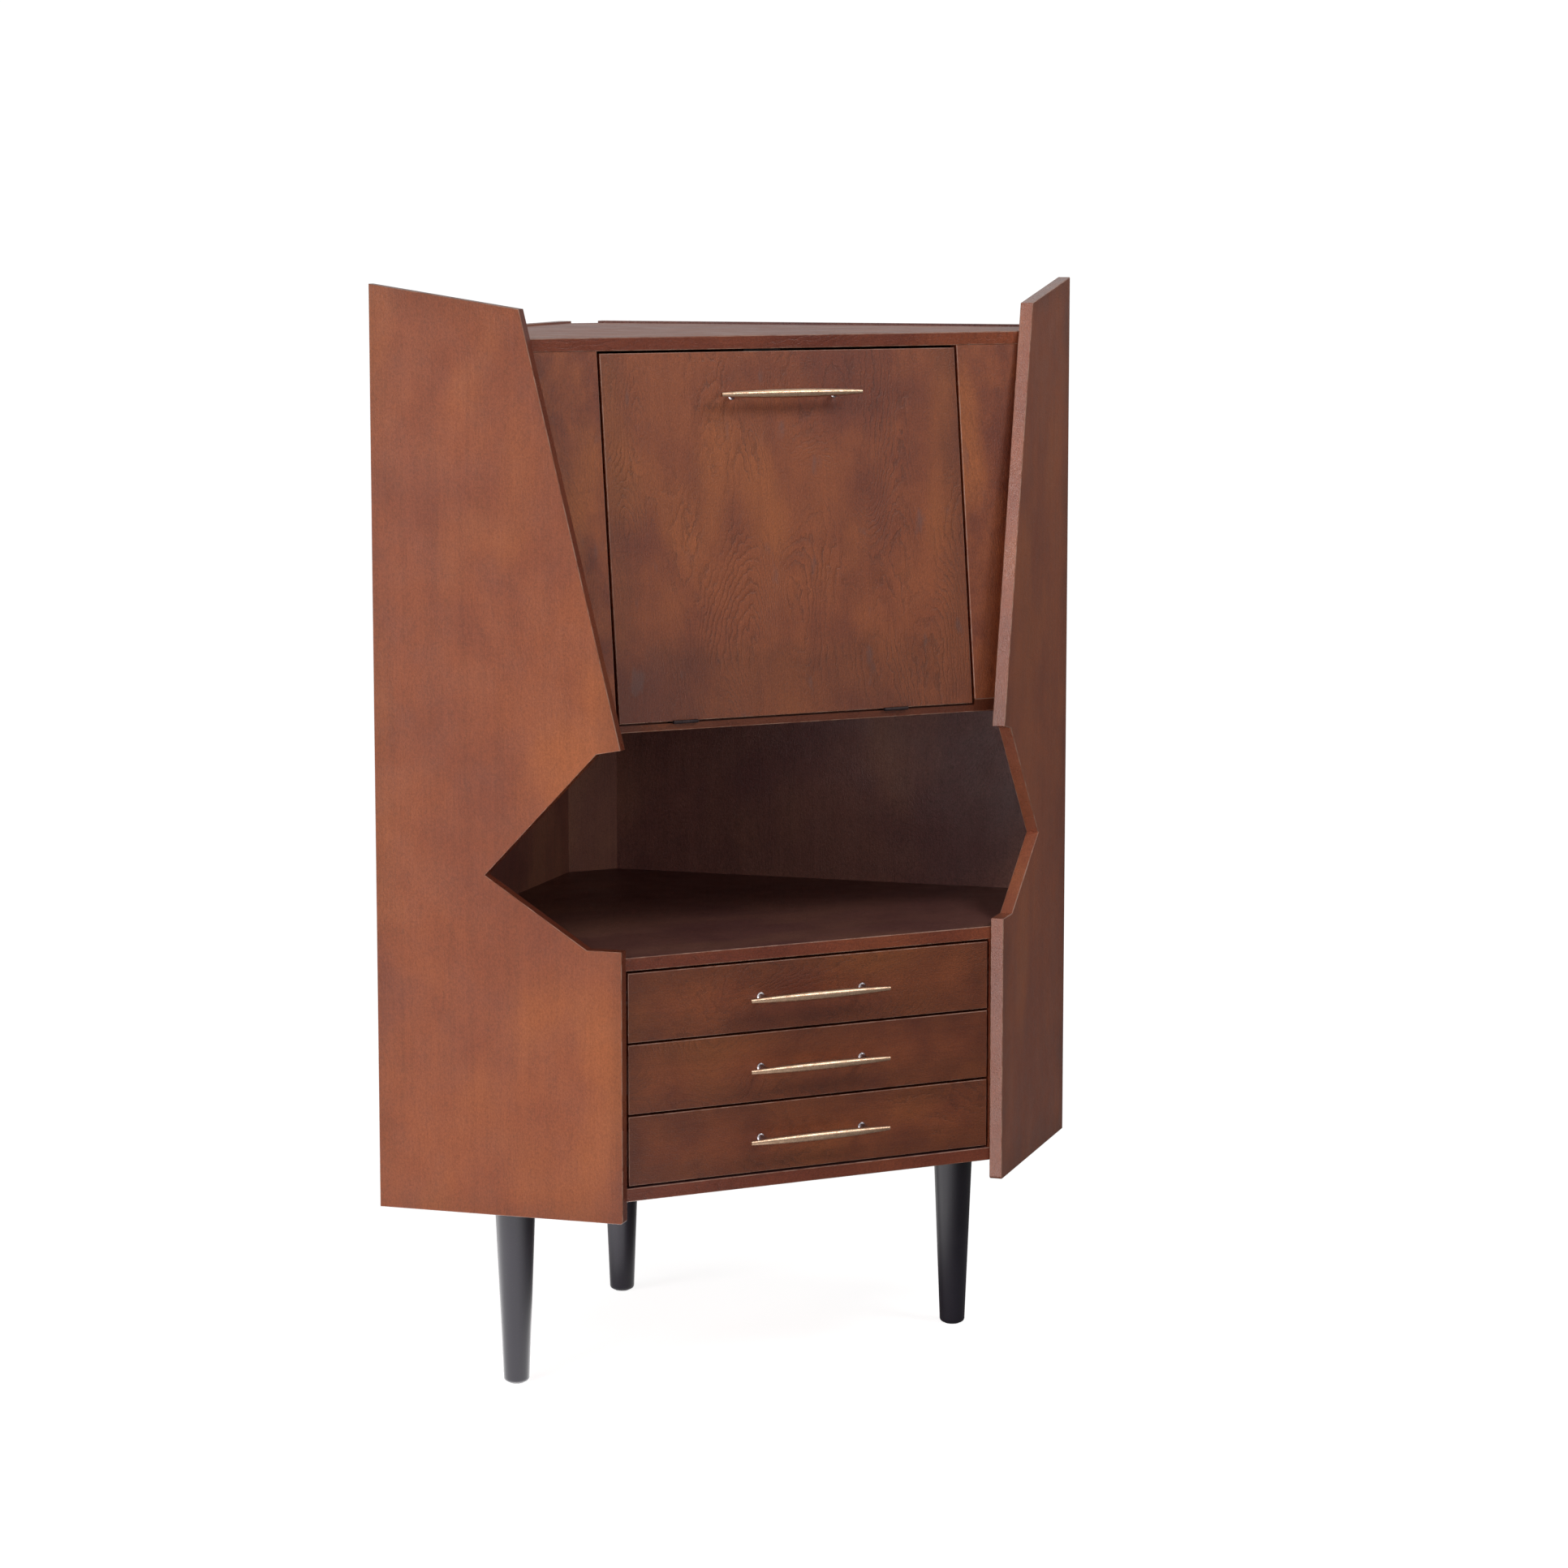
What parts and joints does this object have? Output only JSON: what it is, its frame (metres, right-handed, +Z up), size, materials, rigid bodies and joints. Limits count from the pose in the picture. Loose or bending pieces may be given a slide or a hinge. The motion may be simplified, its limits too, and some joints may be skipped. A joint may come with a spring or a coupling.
{
  "type": "corner bar cabinet with fold-out shelf",
  "caption": "Free-standing corner bar cabinet: drop-front door that folds out as a shelf on sliding stays, open niche between notched side panels, drawers below, tapered legs.",
  "frame": {"origin": "bottom centre of the bounding box, on the floor midway across the width and the overall depth, drawer handles included", "axes": "+Z up, -Y out of the front (towards the user), +Y into the room's corner, +X to the right of a user who faces the front"},
  "size_m": [0.888, 0.635, 1.2446],
  "materials": {
    "stained_veneer": "reddish brown stained veneer, satin lacquer",
    "drawer_box_wood": "pale solid wood, clear satin lacquer",
    "drawer_floor_ply": "thin plywood, matt",
    "beech": "raw beech dowel",
    "black_lacquer": "black lacquered solid wood, satin",
    "antique_brass": "antiqued, finely brushed along the bar",
    "polished_nickel": "polished",
    "zinc_steel": "zinc plated",
    "dark_hinge_steel": "dark bronzed steel",
    "black_plastic": "moulded, matt"
  },
  "bodies": {
    "cabinet": {"left_side_panel": "stained_veneer", "right_side_panel": "stained_veneer", "left_back_panel": "stained_veneer", "right_back_panel": "stained_veneer", "corner_strip": "stained_veneer", "top_panel": "stained_veneer", "bar_floor": "stained_veneer", "niche_floor": "stained_veneer", "base_panel": "stained_veneer", "left_face_panel": "stained_veneer", "right_face_panel": "stained_veneer", "drawer_case_sides": "stained_veneer", "left_leg": "black_lacquer", "right_leg": "black_lacquer", "rear_leg": "black_lacquer", "carcass_dowels": "beech", "back_panel_screws": "zinc_steel", "leg_glides": "black_plastic", "leg_bolts": "zinc_steel", "hinge_floor_leaves": "dark_hinge_steel", "hinge_pins": "dark_hinge_steel", "hinge_floor_screws": "zinc_steel", "magnetic_catch": "black_plastic", "stay_cabinet_brackets": "zinc_steel", "slide_channels": "zinc_steel"},
    "door": {"door_panel": "stained_veneer", "door_handle_bar": "antique_brass", "door_handle_posts": "polished_nickel", "door_handle_screws": "zinc_steel", "hinge_door_leaves": "dark_hinge_steel", "hinge_door_screws": "zinc_steel", "strike_plate": "zinc_steel", "stay_door_brackets": "zinc_steel"},
    "left_stay": {"left_stay_arm": "zinc_steel"},
    "right_stay": {"right_stay_arm": "zinc_steel"},
    "bottom_drawer": {"bottom_drawer_front": "stained_veneer", "bottom_drawer_sides": "drawer_box_wood", "bottom_drawer_back": "drawer_box_wood", "bottom_drawer_floor": "drawer_floor_ply", "bottom_drawer_slide_rails": "zinc_steel", "bottom_drawer_handle_bar": "antique_brass", "bottom_drawer_handle_posts": "polished_nickel", "bottom_drawer_handle_screws": "zinc_steel"},
    "middle_drawer": {"middle_drawer_front": "stained_veneer", "middle_drawer_sides": "drawer_box_wood", "middle_drawer_back": "drawer_box_wood", "middle_drawer_floor": "drawer_floor_ply", "middle_drawer_slide_rails": "zinc_steel", "middle_drawer_handle_bar": "antique_brass", "middle_drawer_handle_posts": "polished_nickel", "middle_drawer_handle_screws": "zinc_steel"},
    "top_drawer": {"top_drawer_front": "stained_veneer", "top_drawer_sides": "drawer_box_wood", "top_drawer_back": "drawer_box_wood", "top_drawer_floor": "drawer_floor_ply", "top_drawer_slide_rails": "zinc_steel", "top_drawer_handle_bar": "antique_brass", "top_drawer_handle_posts": "polished_nickel", "top_drawer_handle_screws": "zinc_steel"}
  },
  "joints": [
    {"name": "door_hinge", "type": "hinge", "parent": "cabinet", "child": "door", "pos_m": [0, -0.2638, 0.76636], "axis": [1, 0, 0], "range_deg": [0, 96.66]},
    {"name": "left_stay_pivot", "type": "hinge", "parent": "door", "child": "left_stay", "pos_m": [-0.2175, -0.22064, 0.91873], "axis": [1, 0, 0], "range_deg": [-48.34, 0]},
    {"name": "right_stay_pivot", "type": "hinge", "parent": "door", "child": "right_stay", "pos_m": [0.2175, -0.22064, 0.91873], "axis": [1, 0, 0], "range_deg": [-48.34, 0]},
    {"name": "bottom_drawer_slide", "type": "slide", "parent": "cabinet", "child": "bottom_drawer", "axis": [0, -1, 0], "range_m": [0, 0.25]},
    {"name": "middle_drawer_slide", "type": "slide", "parent": "cabinet", "child": "middle_drawer", "axis": [0, -1, 0], "range_m": [0, 0.25]},
    {"name": "top_drawer_slide", "type": "slide", "parent": "cabinet", "child": "top_drawer", "axis": [0, -1, 0], "range_m": [0, 0.25]}
  ],
  "couplings": [
    {"joint": "left_stay_pivot", "follows": "door_hinge", "ratio": -0.5},
    {"joint": "right_stay_pivot", "follows": "door_hinge", "ratio": -0.5}
  ]
}
